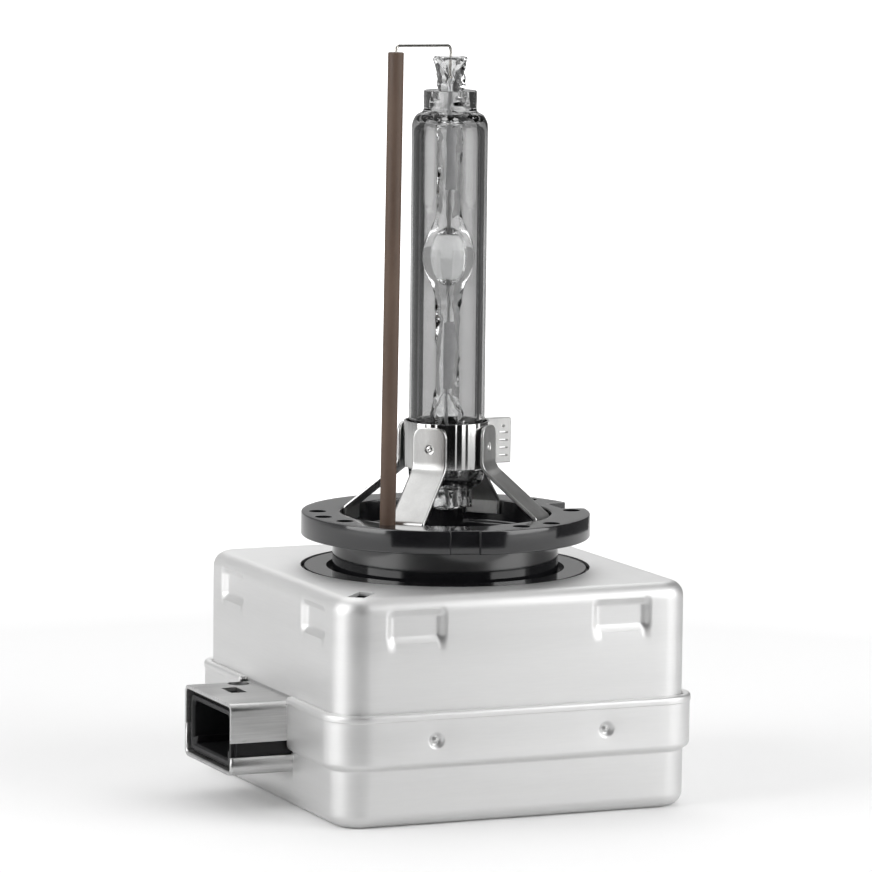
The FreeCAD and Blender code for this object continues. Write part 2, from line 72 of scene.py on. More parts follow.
# ---- studio ----
# A white sheet runs under the bulb and up behind it. Soft boxes stand at both front quarters and a wide one
# hangs high behind it. Black cards out of view give clear glass and polished metal something dark to show.
# Looked at straight, the sheet glows more far from the bulb. Seen through more than four surfaces of glass,
# the sheet and the cards glow: painted light that brightens the burner in the tube.
def mesh_from_grids(name, grids):
    """One mesh from several point grids. A grid is (points, around_rows, around_columns, keep): points is
    an array of rows by columns by 3, each cell of four neighbours is a quad, a closed direction joins its
    last line to its first, and keep, if it isn't None, marks the cells that stay. Points in the same place
    are merged."""
    points, quads, first = [], [], 0
    for grid, around_rows, around_columns, keep in grids:
        rows, columns = grid.shape[:2]
        index = np.arange(rows * columns).reshape(rows, columns) + first
        if around_rows:
            index = np.vstack([index, index[:1]])
        if around_columns:
            index = np.hstack([index, index[:, :1]])
        cells = np.stack([index[:-1, :-1], index[1:, :-1], index[1:, 1:], index[:-1, 1:]], -1)
        quads.append(cells[keep] if keep is not None else cells.reshape(-1, 4))
        points.append(grid.reshape(-1, 3))
        first += rows * columns
    points, quads = np.vstack(points), np.vstack(quads)
    mesh = bpy.data.meshes.new(name)
    mesh.vertices.add(len(points))
    mesh.vertices.foreach_set("co", points.astype(np.float32).ravel())
    mesh.loops.add(quads.size)
    mesh.loops.foreach_set("vertex_index", quads.astype(np.int32).ravel())
    mesh.polygons.add(len(quads))
    mesh.polygons.foreach_set("loop_start", np.arange(0, quads.size, 4, dtype=np.int32))
    mesh.update(calc_edges=True)
    tidy = bmesh.new()
    tidy.from_mesh(mesh)
    bmesh.ops.remove_doubles(tidy, verts=tidy.verts, dist=1e-7)
    bmesh.ops.dissolve_degenerate(tidy, edges=tidy.edges, dist=1e-8)
    loose = [vertex for vertex in tidy.verts if not vertex.link_faces]
    bmesh.ops.delete(tidy, geom=loose, context="VERTS")
    tidy.to_mesh(mesh)
    tidy.free()
    mesh.validate()
    return mesh


def new_object(name, grids, material, sharp_angle=35, closed=True):
    """An object from point grids, smooth except where faces meet at more than sharp_angle degrees. The
    normals of a closed shape are turned outwards."""
    mesh = mesh_from_grids(name, grids)
    if closed:
        shell = bmesh.new()
        shell.from_mesh(mesh)
        bmesh.ops.recalc_face_normals(shell, faces=shell.faces)
        shell.to_mesh(mesh)
        shell.free()
    mesh.shade_smooth()
    mesh.set_sharp_from_angle(angle=math.radians(sharp_angle))
    thing = bpy.data.objects.new(name, mesh)
    bpy.context.scene.collection.objects.link(thing)
    thing.data.materials.append(material)
    return thing


def studio_material(name, seen, mirrored, glow, glow_from, glow_to):
    """A plain studio surface: seen is how white it is where it is looked at straight, mirrored how white it
    is where it lights or is mirrored in something. It glows by the first to the second number of glow, as
    the value that glow_from makes in its nodes goes along glow_to."""
    material = bpy.data.materials.new(name)
    material.use_nodes = True
    nodes, links = material.node_tree.nodes, material.node_tree.links
    shader = nodes["Principled BSDF"]
    shader.inputs["Roughness"].default_value = 1.0
    shader.inputs["Specular IOR Level"].default_value = 0.0
    shader.inputs["Emission Color"].default_value = (1, 1, 1, 1)
    rays, tone = nodes.new("ShaderNodeLightPath"), nodes.new("ShaderNodeMix")
    ramp = nodes.new("ShaderNodeMapRange")
    tone.data_type = "RGBA"
    tone.inputs["A"].default_value = (mirrored, mirrored, mirrored, 1)
    tone.inputs["B"].default_value = (seen, seen, seen, 1)
    ramp.inputs["From Min"].default_value, ramp.inputs["From Max"].default_value = glow_to
    ramp.inputs["To Min"].default_value, ramp.inputs["To Max"].default_value = glow
    links.new(rays.outputs["Is Camera Ray"], tone.inputs["Factor"])
    links.new(tone.outputs["Result"], shader.inputs["Base Color"])
    links.new(glow_from(nodes, links, rays), ramp.inputs["Value"])
    links.new(ramp.outputs["Result"], shader.inputs["Emission Strength"])
    return material


def distance_or_glass(nodes, links, rays):
    """Looked at straight: how far the point is from the bulb, in metres. Looked at through glass: 0.03 for
    every surface of glass passed, which is four for the outer tube and more where it holds the burner."""
    place, length = nodes.new("ShaderNodeTexCoord"), nodes.new("ShaderNodeVectorMath")
    length.operation = "LENGTH"
    straight_on, both = nodes.new("ShaderNodeMath"), nodes.new("ShaderNodeMath")
    straight_on.operation, both.operation = "MULTIPLY", "MULTIPLY_ADD"
    both.inputs[1].default_value = 0.03
    links.new(place.outputs["Object"], length.inputs[0])
    links.new(length.outputs["Value"], straight_on.inputs[0])
    links.new(rays.outputs["Is Camera Ray"], straight_on.inputs[1])
    links.new(rays.outputs["Transmission Depth"], both.inputs[0])
    links.new(straight_on.outputs["Value"], both.inputs[2])
    return both.outputs["Value"]


def glass_passed(nodes, links, rays):
    """How many surfaces of glass the light has passed."""
    return rays.outputs["Transmission Depth"]


def facing(turn_degrees, away, height):
    """The place on a circle round the bulb, turned to the right of the camera's side by so many degrees."""
    angle = camera_turn - math.pi / 2 + np.radians(turn_degrees)
    return np.stack([np.cos(angle) * away, np.sin(angle) * away, height + 0 * angle], -1)


floor_z = cad_low.z
curve = np.linspace(0.1, math.pi / 2, 14)
sweep_run = np.concatenate([np.linspace(-3.0, 1.2, 30), 1.2 + 0.8 * np.sin(curve), np.full(6, 2.0)])
sweep_rise = np.concatenate([np.zeros(30), 0.8 * (1 - np.cos(curve)), np.linspace(0.9, 3.0, 6)])
sweep_side = np.linspace(-3.0, 3.0, 9)
ahead, across = np.array(facing(180, 1, 0)), np.array(facing(90, 1, 0))
paper = (sweep_run[:, None, None] * ahead + sweep_side[None, :, None] * across
         + (sweep_rise[:, None, None] + floor_z) * np.array((0, 0, 1)))
# Painted light: beyond four surfaces of glass, the sheet glows more with each surface it is seen through,
# which brightens the burner.
paper_white = studio_material("white_paper", 0.86, 0.66, (0.02, 1.0), distance_or_glass, (0.12, 0.4))
backdrop = new_object("backdrop", [(paper, False, False, None)], paper_white, closed=False)

# Painted light: each card glows where it is seen through more than four surfaces of glass, which brightens
# the burner.
cards = [("card_front", -41, 46, 0.13, 0.7, True, (0.0, 0.4)),
         ("card_left", -167, -95, 0.2, 0.5, False, (0.05, 1.2)),
         ("card_right", 157, 95, 0.2, 0.5, True, (0.08, 1.2))]
for name, turn_from, turn_to, away, high, glossy, glow in cards:
    bend = facing(np.linspace(turn_from, turn_to, 24), away, floor_z + 0.0005)
    upright = np.stack([bend, bend + np.array((0, 0, high))])
    card = new_object(name, [(upright, False, False, None)],
                      studio_material(name, 0.01, 0.01, glow, glass_passed, (4.5, 8.5)), closed=False)
    card.visible_camera = card.visible_shadow = card.visible_diffuse = False
    card.visible_glossy = glossy


def soft_box(name, turn, away, height, size, power, through_glass):
    """A rectangular soft light that looks at the bulb and can be left out of what the glass shows."""
    light = bpy.data.lights.new(name, "AREA")
    light.shape = "RECTANGLE"
    light.size, light.size_y = size
    light.energy = power
    lamp = bpy.data.objects.new(name, light)
    lamp.location = facing(turn, away, height)
    lamp.rotation_mode = "QUATERNION"
    lamp.rotation_quaternion = (-lamp.location).to_track_quat("-Z", "Y")
    lamp.visible_camera = False
    lamp.visible_transmission = through_glass
    bpy.context.scene.collection.objects.link(lamp)


soft_box("box_left", -66, 0.5, 0.2, (0.38, 0.46), 1.6, True)
soft_box("box_right", 69, 0.5, 0.2, (0.4, 0.46), 1.6, True)
soft_box("box_top", 172, 0.75, 1.0, (1.2, 1.2), 5.5, False)
world = bpy.data.worlds.new("world")
bpy.context.scene.world = world
world.use_nodes = True
world_nodes, world_links = world.node_tree.nodes, world.node_tree.links
world_rays, world_glow = world_nodes.new("ShaderNodeLightPath"), world_nodes.new("ShaderNodeMapRange")
world_place, world_split = world_nodes.new("ShaderNodeTexCoord"), world_nodes.new("ShaderNodeSeparateXYZ")
world_glow.inputs["From Min"].default_value, world_glow.inputs["From Max"].default_value = 0.0, 0.9
world_glow.inputs["To Min"].default_value, world_glow.inputs["To Max"].default_value = 0.27, 0.75
world_whiten = world_nodes.new("ShaderNodeMath")
world_whiten.operation = "MAXIMUM"
world_links.new(world_place.outputs["Generated"], world_split.inputs["Vector"])
world_links.new(world_split.outputs["Z"], world_glow.inputs["Value"])
world_links.new(world_glow.outputs["Result"], world_whiten.inputs[0])
world_links.new(world_rays.outputs["Is Camera Ray"], world_whiten.inputs[1])
world_links.new(world_whiten.outputs["Value"], world_nodes["Background"].inputs["Strength"])
world_nodes["Background"].inputs["Color"].default_value = (1, 1, 1, 1)


# ---- finishes ----
# Every part has slow patches of tone and a fine grain. One node group makes both, and each material sets
# its own colours, sizes and roughness.
def detail_group():
    """Slow noise mixes two colours and two roughnesses; fine noise is the height of the grain."""
    group = bpy.data.node_groups.new("patches_and_grain", "ShaderNodeTree")
    interface = group.interface
    for name, kind in (("Vector", "NodeSocketVector"), ("Dark", "NodeSocketColor"),
                       ("Light", "NodeSocketColor"), ("Patch Scale", "NodeSocketFloat"),
                       ("Grain Scale", "NodeSocketFloat"), ("Smooth", "NodeSocketFloat"),
                       ("Rough", "NodeSocketFloat"), ("Grain Tone", "NodeSocketFloat")):
        interface.new_socket(name, in_out="INPUT", socket_type=kind)
    for name, kind in (("Colour", "NodeSocketColor"), ("Roughness", "NodeSocketFloat"),
                       ("Height", "NodeSocketFloat")):
        interface.new_socket(name, in_out="OUTPUT", socket_type=kind)
    nodes, links = group.nodes, group.links
    inside, outside = nodes.new("NodeGroupInput"), nodes.new("NodeGroupOutput")
    patch, grain = nodes.new("ShaderNodeTexNoise"), nodes.new("ShaderNodeTexNoise")
    patch.inputs["Detail"].default_value = 3.0
    grain.inputs["Detail"].default_value = 4.0
    links.new(inside.outputs["Vector"], patch.inputs["Vector"])
    links.new(inside.outputs["Vector"], grain.inputs["Vector"])
    links.new(inside.outputs["Patch Scale"], patch.inputs["Scale"])
    links.new(inside.outputs["Grain Scale"], grain.inputs["Scale"])
    blend = nodes.new("ShaderNodeMix")
    blend.data_type = "FLOAT"
    links.new(inside.outputs["Grain Tone"], blend.inputs[0])
    links.new(patch.outputs["Fac"], blend.inputs[2])
    links.new(grain.outputs["Fac"], blend.inputs[3])
    spread = nodes.new("ShaderNodeMapRange")
    spread.inputs["From Min"].default_value = 0.3
    spread.inputs["From Max"].default_value = 0.7
    links.new(blend.outputs[0], spread.inputs["Value"])
    tone = nodes.new("ShaderNodeMix")
    tone.data_type = "RGBA"
    links.new(spread.outputs["Result"], tone.inputs["Factor"])
    links.new(inside.outputs["Dark"], tone.inputs["A"])
    links.new(inside.outputs["Light"], tone.inputs["B"])
    shine = nodes.new("ShaderNodeMix")
    shine.data_type = "FLOAT"
    links.new(spread.outputs["Result"], shine.inputs[0])
    links.new(inside.outputs["Smooth"], shine.inputs[2])
    links.new(inside.outputs["Rough"], shine.inputs[3])
    links.new(tone.outputs["Result"], outside.inputs["Colour"])
    links.new(shine.outputs[0], outside.inputs["Roughness"])
    links.new(grain.outputs["Fac"], outside.inputs["Height"])
    return group


patches_and_grain = detail_group()


def finish(name, dark, light, patch, grain, smooth, rough, bump, stretch=(1, 1, 1), grain_tone=0.3, **fixed):
    """A material: colours dark to light in patches of patch metres, a grain of grain metres that is bump
    metres high, drawn out by stretch along each axis. fixed names further shader inputs and their value."""
    material = bpy.data.materials.new(name)
    material.use_nodes = True
    nodes, links = material.node_tree.nodes, material.node_tree.links
    shader = nodes["Principled BSDF"]
    place, mapping = nodes.new("ShaderNodeTexCoord"), nodes.new("ShaderNodeMapping")
    mapping.inputs["Scale"].default_value = stretch
    detail = nodes.new("ShaderNodeGroup")
    detail.node_tree = patches_and_grain
    for socket, value in (("Dark", (*dark, 1)), ("Light", (*light, 1)), ("Patch Scale", 1 / patch),
                          ("Grain Scale", 1 / grain), ("Smooth", smooth), ("Rough", rough),
                          ("Grain Tone", grain_tone)):
        detail.inputs[socket].default_value = value
    relief = nodes.new("ShaderNodeBump")
    relief.inputs["Strength"].default_value = 1.0
    relief.inputs["Distance"].default_value = bump
    links.new(place.outputs["Object"], mapping.inputs["Vector"])
    links.new(mapping.outputs["Vector"], detail.inputs["Vector"])
    links.new(detail.outputs["Colour"], shader.inputs["Base Color"])
    links.new(detail.outputs["Roughness"], shader.inputs["Roughness"])
    links.new(detail.outputs["Height"], relief.inputs["Height"])
    links.new(relief.outputs["Normal"], shader.inputs["Normal"])
    for socket, value in fixed.items():
        shader.inputs[socket.replace("_", " ")].default_value = value
    return material


def dress(node, material):
    """Gives a CAD node its material."""
    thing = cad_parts[node]
    thing.data.materials.clear()
    thing.data.materials.append(material)


def stands_for(thing, slot, *nodes):
    """The piece rides on the one body and replaces the nodes when shown. slot is not used."""
    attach(thing, "root")
    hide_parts(*nodes)


# ---- igniter parts ----
# Inside the box: a rod-core transformer with a chambered bobbin, a spark gap, a film capacitor, a resistor
# and the stamped tracks, all in a dark compound. They are hidden in use and keep their CAD shapes.
tin = finish("tinned_brass", (0.52, 0.47, 0.38), (0.78, 0.74, 0.64), 2 * mm, 0.2 * mm, 0.22, 0.4,
             0.004 * mm, Metallic=1.0)
copper = finish("bare_copper", (0.62, 0.28, 0.16), (0.86, 0.47, 0.32), 2 * mm, 0.2 * mm, 0.2, 0.38,
                0.004 * mm, Metallic=1.0)
enamel = finish("enamelled_wire", (0.2, 0.06, 0.02), (0.5, 0.2, 0.08), 1 * mm, 0.25 * mm, 0.2, 0.4,
                0.05 * mm, stretch=(0.15, 1, 0.15), grain_tone=0.7, Metallic=0.6, Coat_Weight=0.5)
ferrite = finish("ferrite", (0.03, 0.03, 0.033), (0.07, 0.07, 0.075), 2 * mm, 0.12 * mm, 0.5, 0.75,
                 0.01 * mm)
bobbin_resin = finish("bobbin_resin", (0.5, 0.47, 0.4), (0.68, 0.65, 0.57), 4 * mm, 0.2 * mm, 0.4, 0.55,
                      0.006 * mm)
fired_white = finish("fired_white", (0.66, 0.65, 0.6), (0.8, 0.79, 0.75), 2 * mm, 0.15 * mm, 0.35, 0.55,
                     0.006 * mm)
amber_resin = finish("amber_resin", (0.32, 0.2, 0.03), (0.5, 0.33, 0.06), 3 * mm, 0.3 * mm, 0.12, 0.3,
                     0.008 * mm, Coat_Weight=0.3)
lacquer = finish("blue_lacquer", (0.1, 0.24, 0.38), (0.18, 0.36, 0.5), 1 * mm, 0.2 * mm, 0.15, 0.35,
                 0.006 * mm, Coat_Weight=0.3)
compound = finish("potting_compound", (0.015, 0.014, 0.013), (0.04, 0.036, 0.033), 5 * mm, 0.4 * mm,
                  0.25, 0.5, 0.02 * mm)
for node, material in {"transformer_core": ferrite, "transformer_bobbin": bobbin_resin,
                       "secondary_winding": enamel, "primary_winding": copper,
                       "spark_gap_body": fired_white, "spark_gap_caps": tin,
                       "ignition_capacitor": amber_resin, "bleed_resistor": lacquer,
                       "supply_track": tin, "return_track": tin, "boost_track": tin,
                       "potting": compound, "high_voltage_lead": copper,
                       "pin_supply": tin, "pin_return": tin, "pin_boost": tin}.items():
    dress(node, material)

# ---- black mouldings ----
# Case, lamp base and post are moulded in a black glass-filled resin: glossy, with a faint flow pattern.
black_resin = finish("black_resin", (0.007, 0.007, 0.008), (0.014, 0.014, 0.0155), 3 * mm, 0.2 * mm,
                     0.08, 0.14, 0.001 * mm, Specular_IOR_Level=0.9, Coat_Weight=0.25, Coat_Roughness=0.08)
dress("igniter_case", black_resin)
dress("centre_post", black_resin)


def arc_path(corners, radii, steps=6):
    """A path through corner points, rounded at each inner corner by an arc of its radius: the arc starts
    and ends where both straight runs touch its circle."""
    corners = [np.asarray(corner, float) for corner in corners]
    path = [corners[0]]
    for before, corner, after, radius in zip(corners, corners[1:], corners[2:], radii):
        come = (corner - before) / np.linalg.norm(corner - before)
        go = (after - corner) / np.linalg.norm(after - corner)
        half_turn = math.acos(float(np.clip(come @ go, -1, 1))) / 2
        if half_turn < 1e-4 or radius == 0:
            path.append(corner)
            continue
        centre = corner + (go - come) / np.linalg.norm(go - come) * radius / math.cos(half_turn)
        across = (corner - centre) / np.linalg.norm(corner - centre)
        along = (go + come) / np.linalg.norm(go + come)
        swing = np.linspace(-half_turn, half_turn, steps)[:, None]
        path.extend(centre + radius * (np.cos(swing) * across + np.sin(swing) * along))
    path.append(corners[-1])
    return np.array(path)


def turned_grid(profile, angles):
    """A profile of (radius, height) turned about the lamp axis: each point goes round its circle."""
    radius, height = profile[:, 0, None], profile[:, 1, None]
    return np.stack([radius * np.cos(angles), radius * np.sin(angles), height + 0 * angles], -1)


def smooth_step(value, start, end):
    """0 before start, 1 after end, and a smooth S between."""
    t = np.clip((value - start) / (end - start), 0, 1)
    return t * t * (3 - 2 * t)


# ---- lamp base ----
# A ring flange with a neck under it and a deep cup in it, one moulding. The ring has a deep notch at +X, a
# shallow key at the front and seven blind holes in its top.
ring_r, ring_t, cup_r = 16.0 * mm, 2.58 * mm, 11.7 * mm
neck_r, neck_bore, cup_floor, neck_foot = 12.5 * mm, 11.2 * mm, -5.2 * mm, -7.2 * mm
post_room_r, blind_hole_r, blind_hole_depth = 1.2 * mm, 0.95 * mm, 0.7 * mm
edge = 0.16 * mm
turn = np.linspace(0, 2 * math.pi, 1440, endpoint=False)


def punch(thing, shapes):
    """Cuts closed shapes right out of a piece. Each is a grid; its object is thrown away afterwards."""
    tools = [new_object("punch", [(shape, False, True, None)], thing.data.materials[0]) for shape in shapes]
    for tool in tools:
        stroke = thing.modifiers.new("punch", "BOOLEAN")
        stroke.object = tool
        stroke.solver = "EXACT"
    bpy.context.view_layer.update()
    finished = bpy.data.meshes.new_from_object(thing.evaluated_get(bpy.context.evaluated_depsgraph_get()))
    thing.modifiers.clear()
    thing.data = finished
    for tool in tools:
        bpy.data.objects.remove(tool)
    thing.data.set_sharp_from_angle(angle=math.radians(35))


def prism(outline, low, high):
    """A closed upright prism: an outline in X and Y at two heights, closed to its middle at both ends."""
    outline = np.asarray(outline, float)
    middle = np.broadcast_to(outline.mean(0), outline.shape)
    rings = [(middle, low), (outline, low), (outline, high), (middle, high)]
    return np.stack([np.concatenate([ring, np.full((len(ring), 1), z)], -1) for ring, z in rings])


def rectangle(length, width, centre=(0, 0), turned_by=0.0):
    """The corners of a rectangle, turned about its centre."""
    c, s = math.cos(turned_by), math.sin(turned_by)
    corners = np.array([(-length, -width), (length, -width), (length, width), (-length, width)]) / 2
    return corners @ np.array([[c, s], [-s, c]]) + centre


def ring_outline(inset):
    """The ring's outer radius all round: a circle, cut back to a flat across the deep notch and the key,
    less an inset. The flat's corners are eased over a short stretch."""
    radius = np.full_like(turn, ring_r)
    for angle, half_width, flat in ((0.0, 2.6 * mm, 13.3 * mm),
                                    (math.radians(-105.4), 1.65 * mm, 15.55 * mm)):
        away = np.abs((turn - angle + math.pi) % (2 * math.pi) - math.pi)
        side = ring_r * np.sin(np.minimum(away, 1.0))
        cut = smooth_step(-side, -half_width - 0.08 * mm, -half_width + 0.08 * mm)
        radius = radius + cut * (flat / np.cos(np.minimum(away, 1.0)) - radius)
    return radius - inset


blind_holes = ((14.2, 161), (14.5, 179), (14.0, -165), (13.9, -77), (14.4, -60), (14.1, -15.5), (14.0, 25))
rows = []
rim_arc = np.linspace(0, math.pi / 2, 5)
for share in np.linspace(0, 1, 8):
    rows.append(((cup_r + edge) * (1 - share) + ring_outline(edge) * share, np.zeros_like(turn)))
for swing in rim_arc[1:]:
    rows.append((ring_outline(edge * (1 - math.sin(swing))),
                 np.full_like(turn, -edge * (1 - math.cos(swing)))))
for swing in rim_arc:
    rows.append((ring_outline(edge * (1 - math.cos(swing))),
                 np.full_like(turn, -ring_t + edge * (1 - math.sin(swing)))))
inner = arc_path([(ring_r - 1.5 * mm, -ring_t), (neck_r, -ring_t), (neck_r, neck_foot),
                  (post_room_r, neck_foot), (post_room_r, cup_floor), (neck_bore, cup_floor),
                  (neck_bore, -ring_t), (cup_r, -ring_t), (cup_r, 0), (cup_r + 2 * edge, 0)],
                 [0.25 * mm, 0.1 * mm, 0.1 * mm, 0.1 * mm, 0.5 * mm, 0.2 * mm, 0.2 * mm, edge])
for radius, height in inner[1:-1]:
    rows.append((np.full_like(turn, radius), np.full_like(turn, height)))
base_grid = np.stack([np.stack([radius * np.cos(turn), radius * np.sin(turn), height + 0 * turn], -1)
                      for radius, height in rows])
lamp_base = new_object("lamp_base_moulding", [(base_grid, True, True, None)], black_resin, sharp_angle=50)
ring_of_points = np.linspace(0, 2 * math.pi, 40, endpoint=False)
unit_circle = np.stack([np.cos(ring_of_points), np.sin(ring_of_points)], -1)
hole_tools = []
for r, angle in blind_holes:
    place = r * mm * np.array((math.cos(math.radians(angle)), math.sin(math.radians(angle))))
    hole_tools.append(prism(blind_hole_r * unit_circle + place, -blind_hole_depth, mm))
punch(lamp_base, hole_tools)
stands_for(lamp_base, "black_moulding", "lamp_base")

# ---- burner: sealed metal ----
# Tungsten rods, molybdenum foils and their leads, sealed in the quartz.
# The tungsten is lighter than the bare metal: painted light on rods that little light reaches inside the
# quartz.
tungsten = finish("tungsten", (0.7, 0.7, 0.7), (0.84, 0.84, 0.84), 0.6 * mm, 0.08 * mm, 0.5, 0.65,
                  0.003 * mm, Metallic=1.0)
molybdenum = finish("molybdenum", (0.72, 0.72, 0.73), (0.88, 0.88, 0.89), 0.8 * mm, 0.1 * mm, 0.45, 0.6,
                    0.003 * mm, Metallic=1.0)
for node in ("upper_electrode", "lower_electrode"):
    dress(node, tungsten)
for node in ("upper_foil", "lower_foil", "upper_lead", "lower_lead"):
    dress(node, molybdenum)

# ---- burner: quartz ----
# The discharge tube is drawn from thick quartz, pinched on the foils and blown to a small pear in the
# middle. The outer tube is fused to it at both ends.
round_turn = np.linspace(0, 2 * math.pi, 96, endpoint=False)
quartz = finish("quartz", (0.975, 0.98, 0.98), (0.99, 0.995, 0.995), 3 * mm, 0.9 * mm, 0.0, 0.012,
                0.006 * mm, Transmission_Weight=1.0, IOR=1.458)
# The outer tube's quartz is tinted grey: a painted shade that darkens everything seen through it.
shade_grey_quartz = finish("outer_quartz", (0.71, 0.71, 0.71), (0.755, 0.755, 0.755), 6 * mm, 1.5 * mm,
                      0.0, 0.01, 0.003 * mm, Transmission_Weight=1.0, IOR=1.458)
arc_height, vessel, stem, foot, foot_bore = 28.4, 2.88, 1.36, 2.0, 1.35


def spline(knots, steps):
    """A smooth profile through (radius, height) knots in millimetres: a Catmull-Rom curve with steps points
    to a span."""
    knots = np.array(knots, float) * mm
    ends = np.vstack([2 * knots[0] - knots[1], knots, 2 * knots[-1] - knots[-2]])
    t = np.linspace(0, 1, steps, endpoint=False)[:, None, None]
    a, b, c, d = ends[:-3], ends[1:-2], ends[2:-1], ends[3:]
    curve = 0.5 * (2 * b + (c - a) * t + (2 * a - 5 * b + 4 * c - d) * t ** 2
                   + (3 * b - a - 3 * c + d) * t ** 3)
    return np.vstack([curve.transpose(1, 0, 2).reshape(-1, 2), knots[-1:]])


def drawn_quartz(profile, waver, seed):
    """A turned profile whose radius wavers by a few slow sine waves round and along it, as hand-worked
    glass does."""
    grid = turned_grid(profile, round_turn)
    phases = np.random.default_rng(seed).uniform(0, 2 * math.pi, 4)
    height = grid[..., 2] / mm
    wave = (np.sin(2 * round_turn + 0.35 * height + phases[0])
            + 0.6 * np.sin(3 * round_turn - 0.8 * height + phases[1])
            + 0.5 * np.sin(round_turn + 1.9 * height + phases[2])
            + 0.5 * np.sin(4 * round_turn + 3.1 * height + phases[3])
            + 0.35 * np.sin(3 * round_turn - 5.3 * height + phases[0])
            + 0.3 * np.sin(2 * round_turn + 7.1 * height))
    fade = smooth_step(np.abs(height - arc_height), 3.4, 5.0)
    grid[..., :2] *= (1 + waver * wave * fade)[..., None]
    return grid


tube_outside = spline([(foot, 0.7), (foot, 3), (foot, 7), (1.95, 9.6), (1.6, 11.6), (stem, 13.4),
                       (1.34, 17), (1.34, 21), (1.42, 23.6), (1.9, 25.2), (2.62, 26.8),
                       (vessel, arc_height), (2.62, 30.0), (1.9, 31.6), (1.42, 33.2), (stem, 36),
                       (stem, 40), (stem, 42.5), (1.3, 43.6), (1.55, 44.8), (1.3, 46.3), (1.5, 46.9),
                       (1.5, 47.6), (1.58, 48.4), (1.75, 49.5), (1.93, 50.22)], 6)
tube_inside = spline([(1.8, 50.3), (1.35, 50.2), (1.0, 49.8), (0.62, 49.1), (0.4, 48.4), (0.28, 47.6),
                      (0.0, 47.0)], 6)
foot_inside = spline([(0.0, 13.4), (0.35, 13.0), (0.8, 12.0), (1.25, 10.4), (foot_bore, 8), (foot_bore, 3),
                      (foot_bore, 0.7)], 5)
room_r, room_half = 1.4 * mm, 3.0 * mm
pole_to_pole = np.linspace(0, math.pi, 40)
arc_room = np.stack([room_r * np.sin(pole_to_pole), arc_height * mm - room_half * np.cos(pole_to_pole)], -1)
burner_wall = np.vstack([foot_inside, tube_outside, tube_inside])
arc_grid = turned_grid(arc_room, round_turn)
arc_grid[..., :2] *= (1 - 0.07 * np.abs(np.sin(4 * round_turn + 0.5)))[:, None]
discharge = new_object("discharge_quartz", [(drawn_quartz(burner_wall, 0.06, 4), False, True, None),
                                            (arc_grid, False, True, None)], quartz)
stands_for(discharge, "quartz", "discharge_tube")

glass, glass_wall, stem_hole, foot_hole = 4.2, 0.84, 1.42, 2.06
bore = glass - glass_wall
outer_foot = spline([(2.93, 0.75), (2.97, 1.4), (2.9, 2.3), (2.98, 2.8), (3.6, 3.1), (4.08, 3.7),
                     (glass, 4.8)], 6)
outer_body = np.array([(glass, 12.0), (glass, 24.0), (glass, 36.0)]) * mm
outer_head = spline([(glass, 42.3), (4.12, 43.1), (3.7, 43.9), (3.1, 44.25), (2.93, 44.6), (2.94, 45.5),
                     (2.92, 46.5), (2.6, 46.62), (1.75, 46.6)], 6)
inner_head = spline([(stem_hole, 46.3), (stem_hole, 45.0), (1.44, 43.9), (1.8, 43.35), (2.7, 43.1),
                     (3.2, 42.6), (bore, 41.6)], 6)
inner_body = np.array([(bore, 30.0), (bore, 18.0)]) * mm
inner_foot = spline([(bore, 5.6), (3.26, 4.6), (2.85, 3.95), (2.25, 3.6), (foot_hole, 3.0), (foot_hole, 1.4),
                     (2.2, 0.8), (2.6, 0.72)], 6)
outer_wall = np.vstack([outer_foot, outer_body, outer_head, inner_head, inner_body, inner_foot])
outer_grid = turned_grid(outer_wall, round_turn)
low = smooth_step(-outer_grid[..., 2], -4.0 * mm, -1.5 * mm)
ripple = np.sin(5 * round_turn + 0.7) + 0.8 * np.sin(9 * round_turn + 2.1) + 0.5 * np.sin(14 * round_turn)
outer_grid[..., 2] += low * ripple * 0.09 * mm
outer_grid[..., :2] *= (1 + low * 0.012 * ripple)[..., None]
outer_bulb = new_object("outer_glass", [(outer_grid, True, True, None)], shade_grey_quartz)
stands_for(outer_bulb, "quartz", "outer_bulb")

# ---- clamp band ----
# A polished steel band holds the outer tube near its foot. Its two ends meet in a flat welded lug at +X.
polished = finish("polished_steel", (0.52, 0.52, 0.52), (0.62, 0.62, 0.61), 2 * mm, 0.3 * mm, 0.1, 0.2,
                  0.001 * mm, stretch=(1, 1, 0.1), Metallic=1.0)
satin = finish("satin_steel", (0.66, 0.66, 0.65), (0.82, 0.82, 0.81), 1.5 * mm, 0.12 * mm, 0.28, 0.36,
               0.0015 * mm, stretch=(1, 1, 0.2), Metallic=1.0)
band_in, band_out, band_low, band_high = 4.5 * mm, 4.72 * mm, 5.1 * mm, 10.2 * mm
flutes, flute_depth = 34, 0.005
band_start = (4.62 * mm, band_low)
band_section = arc_path([band_start, (band_out, band_low), (band_out, band_high), (band_in, band_high),
                         (band_in, band_low), band_start], [0.06 * mm] * 4)
band_turn = np.linspace(0, 2 * math.pi, 500, endpoint=False)
band_grid = turned_grid(band_section[:-1], band_turn)
uneven = 1 + 0.5 * np.sin(3 * band_turn + 1)
band_grid[..., :2] *= (1 + flute_depth * np.sin(flutes * band_turn) * uneven)[:, None]
clamp = new_object("clamp_strap", [(band_grid, True, True, None)], polished)
stands_for(clamp, "band_steel", "clamp_band")


